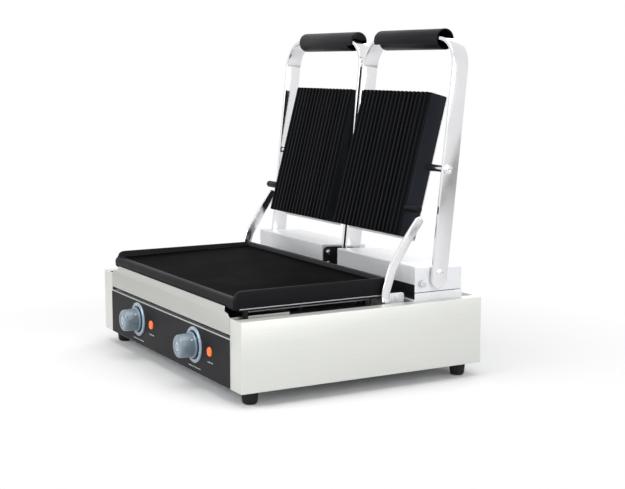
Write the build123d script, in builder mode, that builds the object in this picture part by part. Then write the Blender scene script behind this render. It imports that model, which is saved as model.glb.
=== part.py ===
# Double contact grill: a stainless base with one wide smooth griddle below and two
# separately hinged, ribbed top plates above, each carried by its own bow handle.
# Units are millimetres. The origin lies on the floor under the middle of the machine,
# X runs to the right for someone at the controls, the front faces -Y, and Z is up.
# The plates stand open, which is the rest position of every joint.
import os
from math import cos, radians, sin

from build123d import *

os.makedirs("parts", exist_ok=True)

# Body
body_width = 570.0
body_depth = 435.0
side_height = 130.5
foot_height = 22.0
sheet = 1.5
fit_gap = 0.3
front_flange = 38.0
top_flange = 22.0

# Feet
foot_top_diameter = 28.0
foot_bottom_diameter = 23.0
foot_inset_x = 27.0
foot_inset_y = 27.0
foot_screw_diameter = 6.0

# Control panel
panel_top = 99.0
overlay_thick = 0.8
shelf_depth = 118.0
knob_spacing = 236.0
knob_height = 66.3
knob_diameter = 39.0
knob_length = 27.0
knob_stand_off = 3.0
bezel_diameter = 58.5
bezel_bore = 45.0
bezel_thick = 3.2
lamp_offset = 59.0
lamp_diameter = 15.0
lamp_out = 3.0
spindle_diameter = 8.0
thermostat_size = (46.0, 40.0, 38.0)

# Drip tray
tray_front_bottom = 105.0
tray_front_top = 134.0
tray_lip_top = 144.5
tray_lip_lean = 4.0
tray_half_width = 232.0
tray_depth = 108.0
tray_wall_top = 128.0
tray_floor = 106.6
runner_width = 14.0

# Deck and plinth
deck_low = 118.0
deck_step = 92.0
hinge_front = 97.5
hinge_back = 187.0
hinge_inner = 26.5
hinge_outer = 270.5
plinth_top = 144.2
box_bottom = 145.4
box_front_bottom = 157.8
box_top_front = 187.2
box_top_back = 181.5
frame_thick = 5.0

# Lower griddle
griddle_half_width = 245.0
griddle_front = -211.0
griddle_back = 63.0
griddle_bottom = 140.0
griddle_rim = 169.0
griddle_wall = 9.0
floor_front = 157.0
floor_back = 162.0
griddle_underside = 146.0
lip_height = 1.5
lip_width = 13.0
post_diameter = 16.0
post_x = 192.0

# Heating elements
element_diameter = 8.0
element_length = 205.0
clamp_thick = 2.0
lead_y = 48.0
lead_hole = 9.0
shield_height = 130.6

# Hinge
hinge_y = 140.0
hinge_z = 174.5
shaft_diameter = 12.0
running_clearance = 0.05
bush_wall = 1.8
spring_clearance = 0.6
spring_wall = 1.2
stop_bolt_y = 108.3
stop_bolt_z = 159.6
stop_bolt_radius = 5.7
stop_bolt_out = 9.0

# Handle
arm_width = 29.0
arm_thick = 6.0
arm_lean = 6.0
arm_below_hinge = 9.5
arm_reach = 376.0
arm_inner = 3.5
arm_outer = 278.6
bend_radius = 50.0
grip_diameter = 34.0
grip_bore = 30.6
grip_end = 5.0
screw_diameter = 8.0
screw_head = 14.0
screw_head_thick = 2.2

# Top plate
plate_inner = 15.0
plate_outer = 223.0
plate_length = 240.0
plate_thick = 38.6
plate_lean = 14.74
plate_foot_y = 91.0
plate_foot_z = 230.0
plate_start = 3.0
plate_wall = 6.0
plate_face = 12.0
rib_depth = 4.0
rib_count = 17
rib_pitch = 12.0
rib_base = 7.0
rib_tip = 3.6
pivot_s = 122.0
pivot_t = 31.0
pin_journal = 9.0
pin_shoulder = 12.0
pin_shank = 8.0
pin_head = 16.0
journal_length = 11.0
cover_thick = 1.5

# Tilt stop on the outer side of each top plate
knob_s = 50.0
knob_t = 8.0
stop_diameter = 12.0
stop_reach = 36.0
strut_inner = 250.2
strut_thick = 4.6
strut_width = 15.0

# Rear connection
gland_height = 60.0
gland_x = -200.0
gland_diameter = 20.0
cord_bore = 10.5

knob_face = body_depth / 2 + overlay_thick + knob_stand_off + knob_length
gland_out = knob_face - body_depth / 2
front = -body_depth / 2
back = body_depth / 2
inner_half = body_width / 2 - sheet


def keep(piece, name):
    # write one finished piece under its own name
    piece.label = name
    export_step(piece, f"parts/{name}.step")


def keep_pair(piece, name):
    # write a right-hand piece and its mirror image for the left
    keep(mirror(piece, about=Plane.YZ), f"{name}_left")
    keep(piece, f"{name}_right")


def keep_both(piece, name):
    # write a right-hand piece and its mirror image together, as separate solids
    both = piece.solids() + mirror(piece, about=Plane.YZ).solids()
    keep(Compound(children=both), name)


def side_plane(x):
    # a plane facing +X at x, whose own axes are Y and Z of the machine
    return Plane(origin=(x, 0, 0), x_dir=(0, 1, 0), z_dir=(1, 0, 0))


def front_plane(y):
    # a plane facing the user at y, whose own axes are X and Z of the machine
    return Plane(origin=(0, y, 0), x_dir=(1, 0, 0), z_dir=(0, -1, 0))


def on_plate(depth):
    # a plane parallel to the ribbed face of the open top plate, depth mm behind it
    lean = radians(plate_lean)
    face = Plane(
        origin=(0, plate_foot_y, plate_foot_z),
        x_dir=(1, 0, 0),
        z_dir=(0, -cos(lean), sin(lean)),
    )
    return face.offset(-depth)


def plate_point(s, t):
    # Y and Z of the point s mm up the open plate and t mm behind its rib tips
    lean = radians(plate_lean)
    y = plate_foot_y + s * sin(lean) + t * cos(lean)
    z = plate_foot_z + s * cos(lean) - t * sin(lean)
    return y, z


# Side panel: one folded sheet with front, back, top and bottom flanges
with BuildPart() as side_panel:
    with BuildSketch(side_plane(inner_half)):
        with Locations((0, (side_height + foot_height) / 2)):
            Rectangle(body_depth, side_height - foot_height)
    extrude(amount=sheet)
    for y in (front, back):
        with BuildSketch(front_plane(y if y < 0 else y - sheet)):
            with Locations((body_width / 2 - front_flange / 2, (side_height + foot_height) / 2)):
                Rectangle(front_flange, side_height - foot_height)
        extrude(amount=-sheet)
    for z in (foot_height, side_height - sheet):
        with BuildSketch(Plane.XY.offset(z)):
            with Locations((body_width / 2 - top_flange / 2, 0)):
                Rectangle(top_flange, body_depth)
        extrude(amount=sheet)
    corners = side_panel.edges().filter_by(Axis.Z).filter_by_position(
        Axis.X, body_width / 2 - 0.1, body_width / 2 + 0.1
    )
    fillet(corners, 1.2)
keep_pair(side_panel.part, "side_panel")

# Base pan between the side panels, with folded front and back stiffeners
pan_half = body_width / 2 - top_flange - fit_gap
with BuildPart() as base_pan:
    with BuildSketch(Plane.XY.offset(foot_height)):
        Rectangle(2 * pan_half, body_depth - 4 * sheet)
    extrude(amount=sheet)
    with BuildSketch(Plane.XY.offset(foot_height)):
        for y in (front + 2 * sheet + 8, back - 2 * sheet - 8):
            with Locations((0, y)):
                SlotOverall(2 * pan_half - 60, 6)
    extrude(amount=sheet + 2)
    with BuildSketch(Plane.XY.offset(foot_height)):
        with GridLocations(34, 60, 9, 4):
            SlotOverall(22, 5)
    extrude(amount=sheet, mode=Mode.SUBTRACT)
keep(base_pan.part, "base_pan")

# Rear panel with louvre slots and the hole for the cable gland
rear_half = body_width / 2 - front_flange - fit_gap
with BuildPart() as rear_panel:
    with BuildSketch(front_plane(back - sheet)):
        with Locations((0, (side_height + foot_height) / 2)):
            Rectangle(2 * rear_half, side_height - foot_height)
        with Locations((90, 78)):
            with GridLocations(16, 0, 14, 1):
                SlotOverall(44, 5, rotation=90, mode=Mode.SUBTRACT)
        with Locations((gland_x, gland_height)):
            Circle(gland_diameter / 2, mode=Mode.SUBTRACT)
    extrude(amount=-sheet)
keep(rear_panel.part, "rear_panel")

# Feet, one tapered rubber foot at each corner, each with its screw
foot_x = body_width / 2 - foot_inset_x
foot_y = body_depth / 2 - foot_inset_y
feet_solids = []
for fx in (-foot_x, foot_x):
    for fy in (-foot_y, foot_y):
        with BuildPart() as foot:
            with BuildSketch(Plane.XY) as sole:
                with Locations((fx, fy)):
                    Circle(foot_bottom_diameter / 2)
            with BuildSketch(Plane.XY.offset(foot_height)) as top:
                with Locations((fx, fy)):
                    Circle(foot_top_diameter / 2)
            loft()
            fillet(foot.faces().sort_by(Axis.Z)[0].edges(), 3)
            with BuildSketch(Plane.XY.offset(foot_height)):
                with Locations((fx, fy)):
                    Circle(foot_screw_diameter / 2)
            extrude(amount=-14, mode=Mode.SUBTRACT)
        feet_solids.append(foot.part.solid())
keep(Compound(children=feet_solids), "feet")

with BuildPart() as foot_screws:
    with BuildSketch(Plane.XY.offset(foot_height - 14)):
        with GridLocations(2 * foot_x, 2 * foot_y, 2, 2):
            Circle(foot_screw_diameter / 2)
    extrude(amount=14)
keep(foot_screws.part, "foot_screws")

# Control panel: a folded sheet whose top flange is the shelf that the drip tray runs on
panel_half = body_width / 2 - front_flange - fit_gap
knob_x = knob_spacing / 2
with BuildPart() as control_panel:
    with BuildSketch(front_plane(front + sheet)):
        with Locations((0, (panel_top + foot_height) / 2)):
            Rectangle(2 * panel_half, panel_top - foot_height)
        with Locations((-knob_x, knob_height), (knob_x, knob_height)):
            Circle(spindle_diameter / 2 + 1, mode=Mode.SUBTRACT)
        with Locations((lamp_offset - knob_x, knob_height), (lamp_offset + knob_x, knob_height)):
            Circle(5.5, mode=Mode.SUBTRACT)
    extrude(amount=sheet)
    with BuildSketch(Plane.XY.offset(panel_top - sheet)):
        with Locations((0, front + shelf_depth / 2)):
            Rectangle(2 * panel_half, shelf_depth)
    extrude(amount=sheet)
keep(control_panel.part, "control_panel")

# Printed overlay on the control panel
with BuildPart() as control_overlay:
    with BuildSketch(front_plane(front)):
        with Locations((0, (panel_top + foot_height) / 2 - 0.6)):
            Rectangle(2 * panel_half - 1, panel_top - foot_height - 2.4)
        with Locations((-knob_x, knob_height), (knob_x, knob_height)):
            Circle(spindle_diameter / 2 + 1.5, mode=Mode.SUBTRACT)
        with Locations((lamp_offset - knob_x, knob_height), (lamp_offset + knob_x, knob_height)):
            Circle(6, mode=Mode.SUBTRACT)
    extrude(amount=overlay_thick)
keep(control_overlay.part, "control_overlay")

# Bezel rings around the knobs
with BuildPart() as bezel_rings:
    with BuildSketch(front_plane(front - overlay_thick)):
        with Locations((-knob_x, knob_height), (knob_x, knob_height)):
            Circle(bezel_diameter / 2)
            Circle(bezel_bore / 2, mode=Mode.SUBTRACT)
    extrude(amount=bezel_thick)
    rim = bezel_rings.edges().filter_by(GeomType.CIRCLE).group_by(Axis.Y)[0]
    chamfer(rim, 1.1)
keep(bezel_rings.part, "bezel_rings")

# Indicator lamps: a domed lens on a neck through the panel
with BuildPart() as indicator_lamps:
    with BuildSketch(front_plane(front - overlay_thick)):
        with Locations((lamp_offset - knob_x, knob_height), (lamp_offset + knob_x, knob_height)):
            Circle(lamp_diameter / 2)
    extrude(amount=lamp_out)
    fillet(indicator_lamps.edges().filter_by(GeomType.CIRCLE).group_by(Axis.Y)[0], 2)
    with BuildSketch(front_plane(front - overlay_thick)):
        with Locations((lamp_offset - knob_x, knob_height), (lamp_offset + knob_x, knob_height)):
            Circle(5.2)
    extrude(amount=-26)
keep(indicator_lamps.part, "indicator_lamps")

# Thermostats behind the panel, each with a bore for its spindle
thermo_w, thermo_h, thermo_d = thermostat_size
with BuildPart() as thermostat:
    with BuildSketch(front_plane(front + 2 * sheet)):
        with Locations((knob_x, knob_height)):
            RectangleRounded(thermo_w, thermo_h, 4)
    extrude(amount=-thermo_d)
    with BuildSketch(front_plane(front + 2 * sheet)):
        with Locations((knob_x, knob_height)):
            Circle(spindle_diameter / 2 + running_clearance)
    extrude(amount=-14, mode=Mode.SUBTRACT)
keep_pair(thermostat.part, "thermostat")

# Control knob with its spindle, bevelled at the face and flanged at the skirt
knob_back = front - overlay_thick - knob_stand_off
with BuildPart() as control_knob:
    with BuildSketch(front_plane(knob_back)):
        with Locations((knob_x, knob_height)):
            Circle(knob_diameter / 2)
    extrude(amount=knob_length)
    chamfer(control_knob.edges().filter_by(GeomType.CIRCLE).group_by(Axis.Y)[0], 2.2)
    with BuildSketch(front_plane(knob_back)):
        with Locations((knob_x, knob_height)):
            Circle(knob_diameter / 2 + 2)
    extrude(amount=3)
    with BuildSketch(front_plane(knob_back)):
        with Locations((knob_x, knob_height)):
            Circle(spindle_diameter / 2)
    extrude(amount=-(overlay_thick + knob_stand_off + 2 * sheet + 12))
keep_pair(control_knob.part, "control_knob")

# Deck: low under the griddle, stepped up to the hinge plinths at the back
with BuildPart() as top_deck:
    low_front = front + shelf_depth - 1 + sheet
    with BuildSketch(Plane.XY.offset(deck_low)):
        with Locations((0, (low_front + deck_step) / 2)):
            Rectangle(2 * inner_half - 2 * fit_gap, deck_step - low_front)
    extrude(amount=sheet)
    with BuildSketch(Plane.XY.offset(side_height - sheet)):
        with Locations((0, (deck_step + back - sheet - fit_gap) / 2)):
            Rectangle(2 * pan_half, back - sheet - fit_gap - deck_step)
    extrude(amount=sheet)
    with BuildSketch(Plane.XY.offset(deck_low)):
        with Locations((0, deck_step - sheet / 2)):
            Rectangle(2 * pan_half, sheet)
    extrude(amount=side_height - deck_low)
    with BuildSketch(Plane.XY.offset(panel_top)):
        with Locations((0, low_front + sheet / 2)):
            Rectangle(2 * panel_half, sheet)
    extrude(amount=deck_low - panel_top)
    for x in (-210, -30, 30, 210):
        with BuildSketch(Plane.XY.offset(deck_low)):
            with Locations((x, lead_y)):
                Circle(lead_hole / 2)
        extrude(amount=sheet, mode=Mode.SUBTRACT)
keep(top_deck.part, "top_deck")

# Drip tray: folded front with a leaning pouring lip, and a shallow trough behind it
with BuildPart() as drip_tray:
    front_half = panel_half - fit_gap
    with BuildSketch(side_plane(-front_half)):
        with BuildLine():
            Polyline(
                (front, tray_front_bottom),
                (front + sheet, tray_front_bottom),
                (front + sheet, tray_front_top - 0.3),
                (front + sheet + tray_lip_lean, tray_lip_top),
                (front + tray_lip_lean, tray_lip_top),
                (front, tray_front_top),
                close=True,
            )
        make_face()
    extrude(amount=2 * front_half)
    with BuildSketch(front_plane(front - 1)):
        for side in (-1, 1):
            with BuildLine():
                Polyline(
                    (side * (front_half + 1), side_height - 0.5),
                    (side * (front_half + 1), tray_lip_top + 1),
                    (side * 220, tray_lip_top + 1),
                    (side * 220, tray_lip_top),
                    (side * 224, 137.5),
                    (side * 236, 136),
                    (side * front_half, side_height - 0.5),
                    close=True,
                )
            make_face()
    extrude(amount=-12, mode=Mode.SUBTRACT)
    with BuildSketch(Plane.XY.offset(tray_floor)):
        with Locations((0, front + sheet + tray_depth / 2)):
            Rectangle(2 * tray_half_width, tray_depth)
    extrude(amount=tray_wall_top - tray_floor)
    with BuildSketch(Plane.XY.offset(tray_floor + sheet)):
        with Locations((0, front + sheet + tray_depth / 2)):
            Rectangle(2 * tray_half_width - 2 * sheet, tray_depth - 2 * sheet)
    extrude(amount=tray_wall_top - tray_floor - sheet, mode=Mode.SUBTRACT)
keep(drip_tray.part, "drip_tray")

# Two runners on the shelf that carry the tray
with BuildPart() as tray_runners:
    with BuildSketch(Plane.XY.offset(panel_top)):
        for x in (-tray_half_width + 20, tray_half_width - 20):
            with Locations((x, front + shelf_depth / 2 + 2)):
                Rectangle(runner_width, shelf_depth - 12)
    extrude(amount=tray_floor - panel_top - fit_gap)
keep(tray_runners.part, "tray_runners")

# Lower griddle: one cast plate with a low rounded front edge and a raised rim on three sides
deck_surface = deck_low + sheet
with BuildPart() as griddle:
    with BuildSketch(side_plane(-griddle_half_width)) as profile:
        with BuildLine():
            Polyline(
                (griddle_front, griddle_bottom),
                (griddle_front, floor_front + lip_height),
                (griddle_front + 4, floor_front + lip_height),
                (griddle_front + 11, griddle_rim),
                (griddle_back, griddle_rim),
                (griddle_back + 9, griddle_bottom),
                close=True,
            )
        make_face()
        nose = profile.vertices().sort_by(Axis.Y)[:2]
        fillet(nose, 3.9)
        fillet(profile.vertices().sort_by_distance((0, griddle_front + 11, griddle_rim))[0], 10)
    extrude(amount=2 * griddle_half_width)
    with BuildSketch(side_plane(-griddle_half_width + griddle_wall)):
        with BuildLine():
            Polyline(
                (griddle_front - 6, floor_front + lip_height),
                (griddle_front + lip_width - 3, floor_front + lip_height),
                (griddle_front + lip_width, floor_front),
                (griddle_back - griddle_wall - 2, floor_back),
                (griddle_back - griddle_wall - 2, griddle_rim + 10),
                (griddle_front - 6, griddle_rim + 10),
                close=True,
            )
        make_face()
    extrude(amount=2 * (griddle_half_width - griddle_wall), mode=Mode.SUBTRACT)
    with BuildSketch(Plane.XY.offset(griddle_bottom)):
        with Locations((0, (griddle_front + griddle_back) / 2 + 3)):
            Rectangle(
                2 * (griddle_half_width - griddle_wall),
                griddle_back - griddle_front - 2 * griddle_wall - 6,
            )
    extrude(amount=griddle_underside - griddle_bottom, mode=Mode.SUBTRACT)
    uprights = griddle.edges().filter_by_position(
        Axis.X, griddle_half_width - 0.01, griddle_half_width + 0.01
    ) + griddle.edges().filter_by_position(
        Axis.X, -griddle_half_width - 0.01, -griddle_half_width + 0.01
    )
    fillet(uprights.group_by(Axis.Y)[-1], 6)
keep(griddle.part, "griddle")

# Posts that carry the griddle: four on the deck, two beside the tray on the shelf
with BuildPart() as griddle_posts:
    with BuildSketch(Plane.XY.offset(deck_surface)):
        for x in (-post_x, post_x):
            for y in (-70, 45):
                with Locations((x, y)):
                    Circle(post_diameter / 2 - 1)
    extrude(amount=griddle_underside - deck_surface)
    with BuildSketch(Plane.XY.offset(panel_top)):
        with Locations((-239.5, -188), (239.5, -188)):
            Circle(4.5)
    extrude(amount=griddle_bottom - panel_top)
keep(griddle_posts.part, "griddle_posts")

# Lower heating elements: a bent tube under each half of the griddle
element_z = griddle_underside - element_diameter / 2 - 0.1
element_solids = []
for side in (-1, 1):
    with BuildPart() as bottom_element:
        with BuildLine() as run:
            FilletPolyline(
                (side * 30, lead_y, deck_low - 12),
                (side * 30, lead_y, element_z),
                (side * 30, -element_length + 25, element_z),
                (side * 66, -element_length + 25, element_z),
                (side * 66, 38, element_z),
                (side * 102, 38, element_z),
                (side * 102, -element_length + 25, element_z),
                (side * 138, -element_length + 25, element_z),
                (side * 138, 38, element_z),
                (side * 174, 38, element_z),
                (side * 174, -element_length + 25, element_z),
                (side * 210, -element_length + 25, element_z),
                (side * 210, lead_y, element_z),
                (side * 210, lead_y, deck_low - 12),
                radius=10,
            )
        with BuildSketch(Plane(origin=run.line @ 0, z_dir=run.line % 0)):
            Circle(element_diameter / 2)
        sweep()
    element_solids.append(bottom_element.part.solid())
keep(Compound(children=element_solids), "bottom_elements")

# Clamp bars that press the lower elements up, with their studs
clamp_z = griddle_underside - element_diameter - 0.3 - clamp_thick
with BuildPart() as element_clamps:
    with BuildSketch(Plane.XY.offset(clamp_z)):
        for x in (-120, 120):
            for y in (-120, -30):
                with Locations((x, y)):
                    Rectangle(200, 14)
    extrude(amount=clamp_thick)
    with BuildSketch(Plane.XY.offset(shield_height + sheet)):
        for x in (-192, -120, -48, 48, 120, 192):
            for y in (-120, -30):
                with Locations((x, y)):
                    Circle(3)
    extrude(amount=griddle_underside - shield_height - sheet)
keep(element_clamps.part, "element_clamps")

# Heat shield hung under the elements
with BuildPart() as heat_shield:
    with BuildSketch(Plane.XY.offset(shield_height)):
        with Locations((0, -63)):
            Rectangle(436, 238)
        with Locations((-post_x, -70), (post_x, -70), (-post_x, 45), (post_x, 45)):
            Circle(post_diameter / 2 - 0.7, mode=Mode.SUBTRACT)
        for x in (-210, -30, 30, 210):
            with Locations((x, lead_y)):
                Circle(lead_hole / 2, mode=Mode.SUBTRACT)
    extrude(amount=sheet)
keep(heat_shield.part, "heat_shield")

# Hinge cover: the brushed box over each hinge, open below and cut away low in front
with BuildPart() as hinge_cover:
    with BuildSketch(side_plane(hinge_inner)):
        with BuildLine():
            Polyline(
                (hinge_front, box_bottom),
                (hinge_front, box_top_front),
                (hinge_back, box_top_back),
                (hinge_back, box_bottom),
                close=True,
            )
        make_face()
    extrude(amount=hinge_outer - hinge_inner)
    top_edges = hinge_cover.faces().sort_by(Axis.Z)[-1].edges()
    fillet(top_edges, 1.8)
    with BuildSketch(side_plane(hinge_inner + sheet)):
        with BuildLine():
            Polyline(
                (hinge_front + sheet, box_bottom - 5),
                (hinge_front + sheet, box_top_front - sheet - 0.2),
                (hinge_back - sheet, box_top_back - sheet),
                (hinge_back - sheet, box_bottom - 5),
                close=True,
            )
        make_face()
    extrude(amount=hinge_outer - hinge_inner - 2 * sheet, mode=Mode.SUBTRACT)
    with BuildSketch(front_plane(hinge_front - 1)):
        with Locations(((hinge_inner + hinge_outer) / 2, (box_bottom + box_front_bottom) / 2 - 3)):
            Rectangle(hinge_outer - hinge_inner - 2 * sheet, box_front_bottom - box_bottom + 6)
    extrude(amount=-(sheet + 2), mode=Mode.SUBTRACT)
    with BuildSketch(side_plane(hinge_inner - 1)):
        with Locations((hinge_y, hinge_z)):
            Circle(shaft_diameter / 2 + 0.4)
    extrude(amount=hinge_outer - hinge_inner + 2, mode=Mode.SUBTRACT)
    with BuildSketch(side_plane(hinge_outer - sheet - 1)):
        with Locations((stop_bolt_y, stop_bolt_z)):
            Circle(3.2)
    extrude(amount=sheet + 2, mode=Mode.SUBTRACT)
keep_pair(hinge_cover.part, "hinge_cover")

# Plinth under each hinge cover: cheeks, back and a tie along the front foot
with BuildPart() as hinge_plinth:
    with BuildSketch(Plane.XY.offset(side_height)):
        with Locations(((hinge_inner + hinge_outer) / 2, (hinge_front + hinge_back + 2) / 2)):
            Rectangle(hinge_outer - hinge_inner, hinge_back + 2 - hinge_front)
    extrude(amount=plinth_top - side_height)
    with BuildSketch(Plane.XY.offset(side_height + sheet)):
        with Locations(((hinge_inner + hinge_outer) / 2, (hinge_front + hinge_back + 2) / 2)):
            Rectangle(
                hinge_outer - hinge_inner - 2 * sheet,
                hinge_back + 2 - hinge_front - 2 * sheet,
            )
    extrude(amount=plinth_top, mode=Mode.SUBTRACT)
    with BuildSketch(front_plane(hinge_front - 1)):
        with Locations(((hinge_inner + hinge_outer) / 2, plinth_top)):
            Rectangle(hinge_outer - hinge_inner - 2 * sheet, 2 * (plinth_top - side_height - 3))
    extrude(amount=-(sheet + 2), mode=Mode.SUBTRACT)
keep_pair(hinge_plinth.part, "hinge_plinth")

# Hinge frame: the black bracket inside each cover that holds the shaft bushes
bush_diameter = shaft_diameter + 2 * bush_wall
frame_left = hinge_inner + 9
frame_right = hinge_outer - 9
frame_front = hinge_front + 6
with BuildPart() as hinge_frame:
    for x in (frame_left, frame_right - frame_thick):
        with BuildSketch(side_plane(x)) as cheek:
            with BuildLine():
                Polyline(
                    (frame_front, side_height + sheet),
                    (frame_front, 168),
                    (hinge_y - 14, 181),
                    (hinge_y + 18, 179),
                    (hinge_back - 5, 160),
                    (hinge_back - 5, side_height + sheet),
                    close=True,
                )
            make_face()
        extrude(amount=frame_thick)
    with BuildSketch(Plane.XY.offset(side_height + sheet)):
        with Locations(((frame_left + frame_right) / 2, (frame_front + hinge_back - 5) / 2)):
            Rectangle(frame_right - frame_left, hinge_back - 5 - frame_front)
    extrude(amount=frame_thick - 1)
    with BuildSketch(front_plane(frame_front)):
        with Locations(((frame_left + frame_right) / 2, (side_height + sheet + 165) / 2)):
            Rectangle(frame_right - frame_left, 165 - side_height - sheet)
    extrude(amount=-3)
    with BuildSketch(side_plane(frame_left - 1)):
        with Locations((hinge_y, hinge_z)):
            Circle(bush_diameter / 2 + 0.05)
    extrude(amount=frame_right - frame_left + 2, mode=Mode.SUBTRACT)
    with BuildSketch(side_plane(frame_right - frame_thick - 1)):
        with Locations((stop_bolt_y, stop_bolt_z)):
            Circle(3)
    extrude(amount=frame_thick + 2, mode=Mode.SUBTRACT)
    with BuildSketch(front_plane(hinge_back)):
        with Locations((hinge_inner - 5, 158)):
            Rectangle(7, 30)
    extrude(amount=6)
hinge_frame_solids = hinge_frame.part.solids().sort_by(SortBy.VOLUME)
keep_pair(hinge_frame_solids[-1], "hinge_frame")

# Flanged bushes that the shafts turn in
bush_bore = shaft_diameter / 2 + running_clearance
bush_length = frame_thick + 6
with BuildPart() as bushes:
    for x in (frame_left - 3, frame_right - frame_thick - 3):
        for side in (-1, 1):
            with BuildSketch(side_plane(side * (x + bush_length / 2) - bush_length / 2)):
                with Locations((hinge_y, hinge_z)):
                    Circle(bush_diameter / 2)
                    Circle(bush_bore, mode=Mode.SUBTRACT)
            extrude(amount=bush_length)
keep(bushes.part, "hinge_bushes")

# Counterbalance spring housings around the shafts, between the bushes
spring_bore = shaft_diameter + 2 * spring_clearance
spring_diameter = spring_bore + 2 * spring_wall
with BuildPart() as springs:
    spring_from = frame_left + bush_length - 3 + 0.2
    spring_to = frame_right - frame_thick - 3 - 0.2
    with BuildSketch(side_plane(spring_from)):
        with Locations((hinge_y, hinge_z)):
            Circle(spring_diameter / 2 - 0.5)
            Circle(spring_bore / 2, mode=Mode.SUBTRACT)
    extrude(amount=spring_to - spring_from)
    with BuildSketch(side_plane(spring_from)):
        with Locations((hinge_y, hinge_z)):
            Circle(spring_diameter / 2)
            Circle(spring_bore / 2, mode=Mode.SUBTRACT)
    extrude(amount=12)
    with BuildSketch(side_plane(spring_to - 12)):
        with Locations((hinge_y, hinge_z)):
            Circle(spring_diameter / 2)
            Circle(spring_bore / 2, mode=Mode.SUBTRACT)
    extrude(amount=12)
keep_both(springs.part, "spring_sleeves")

# Stop bolts on the outer cheeks: the closed handle comes to rest on them
with BuildPart() as stop_bolts:
    for side in (-1, 1):
        head_from = hinge_outer if side > 0 else -hinge_outer - stop_bolt_out
        with BuildSketch(side_plane(head_from)):
            with Locations((stop_bolt_y, stop_bolt_z)):
                RegularPolygon(stop_bolt_radius, 6, rotation=10.5)
        extrude(amount=stop_bolt_out)
        shank_from = frame_right - frame_thick if side > 0 else -hinge_outer
        with BuildSketch(side_plane(shank_from)):
            with Locations((stop_bolt_y, stop_bolt_z)):
                Circle(2.9)
        extrude(amount=hinge_outer - frame_right + frame_thick)
keep(stop_bolts.part, "stop_bolts")

# Guide bar beside the griddle: a bent flat bar that the tilt knob rides down
strut_line = [(53, deck_surface), (53, 146), (66.5, 186), (94, 229), (119, 262.5)]
with BuildPart() as guide_bar:
    with BuildSketch(side_plane(strut_inner)) as bar:
        with BuildLine() as centre:
            FilletPolyline(*strut_line, radius=22)
        trace(line_width=strut_width)
    extrude(amount=strut_thick)
    top_corners = guide_bar.edges().filter_by(Axis.X).sort_by(Axis.Z)[-2:]
    fillet(top_corners, 6)
    with BuildSketch(Plane.XY.offset(deck_surface)):
        with Locations((strut_inner + 8, 53)):
            Rectangle(16, strut_width)
    extrude(amount=3)
keep_pair(guide_bar.part, "guide_bar")

# Bracket that ties the foot of the guide bar to the deck, with its two rivets
with BuildPart() as guide_bracket:
    with BuildSketch(side_plane(strut_inner - 3.1)) as web:
        with Locations((70, (deck_surface + 144) / 2)):
            RectangleRounded(40, 144 - deck_surface, 4)
    extrude(amount=3)
    with BuildSketch(Plane.XY.offset(deck_surface)):
        with Locations((strut_inner + 6, 76)):
            Rectangle(18.2, 27)
    extrude(amount=3)
    for y, z in ((54, 132), (75, 137)):
        far = strut_thick + 0.1 if y < 60 else 0
        with BuildSketch(side_plane(strut_inner - 0.1 + far)):
            with Locations((y, z)):
                Circle(4)
        extrude(amount=2.2)
keep_both(guide_bracket.part, "guide_brackets")

# Handle: one flat bar bent into a tall bow, straddling the plate and the hinge cover
lean = radians(arm_lean)
bow_plane = Plane(origin=(0, hinge_y, hinge_z), x_dir=(1, 0, 0), z_dir=(0, -cos(lean), sin(lean)))
arm_mid = (arm_inner + arm_outer) / 2
arm_span = arm_outer - arm_inner
pivot_y, pivot_z = plate_point(pivot_s, pivot_t)
with BuildPart() as handle:
    with BuildSketch(bow_plane) as bow:
        with Locations((arm_mid, (arm_reach - arm_below_hinge) / 2)):
            RectangleRounded(arm_span, arm_reach + arm_below_hinge, bend_radius)
            RectangleRounded(
                arm_span - 2 * arm_thick,
                arm_reach + arm_below_hinge - 2 * arm_thick,
                bend_radius - arm_thick,
                mode=Mode.SUBTRACT,
            )
        with Locations((arm_mid, -arm_below_hinge + bend_radius / 2)):
            Rectangle(arm_span + 2, bend_radius, mode=Mode.SUBTRACT)
        with Locations(
            (arm_inner + arm_thick / 2, bend_radius / 2 - arm_below_hinge + 0.5),
            (arm_outer - arm_thick / 2, bend_radius / 2 - arm_below_hinge + 0.5),
        ):
            Rectangle(arm_thick, bend_radius + 1)
    extrude(amount=arm_width / 2, both=True)
    for x in (arm_inner, arm_outer - arm_thick):
        end_y = hinge_y - arm_below_hinge * sin(lean)
        end_z = hinge_z - arm_below_hinge * cos(lean)
        with BuildSketch(side_plane(x)):
            with Locations((end_y, end_z)):
                Circle(arm_width / 2)
        extrude(amount=arm_thick)
    with BuildSketch(side_plane(arm_inner - 1)):
        with Locations((hinge_y, hinge_z), (pivot_y, pivot_z)):
            Circle(screw_diameter / 2 + 0.05)
    extrude(amount=arm_span + 2, mode=Mode.SUBTRACT)
keep_pair(handle.part, "handle")

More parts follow.
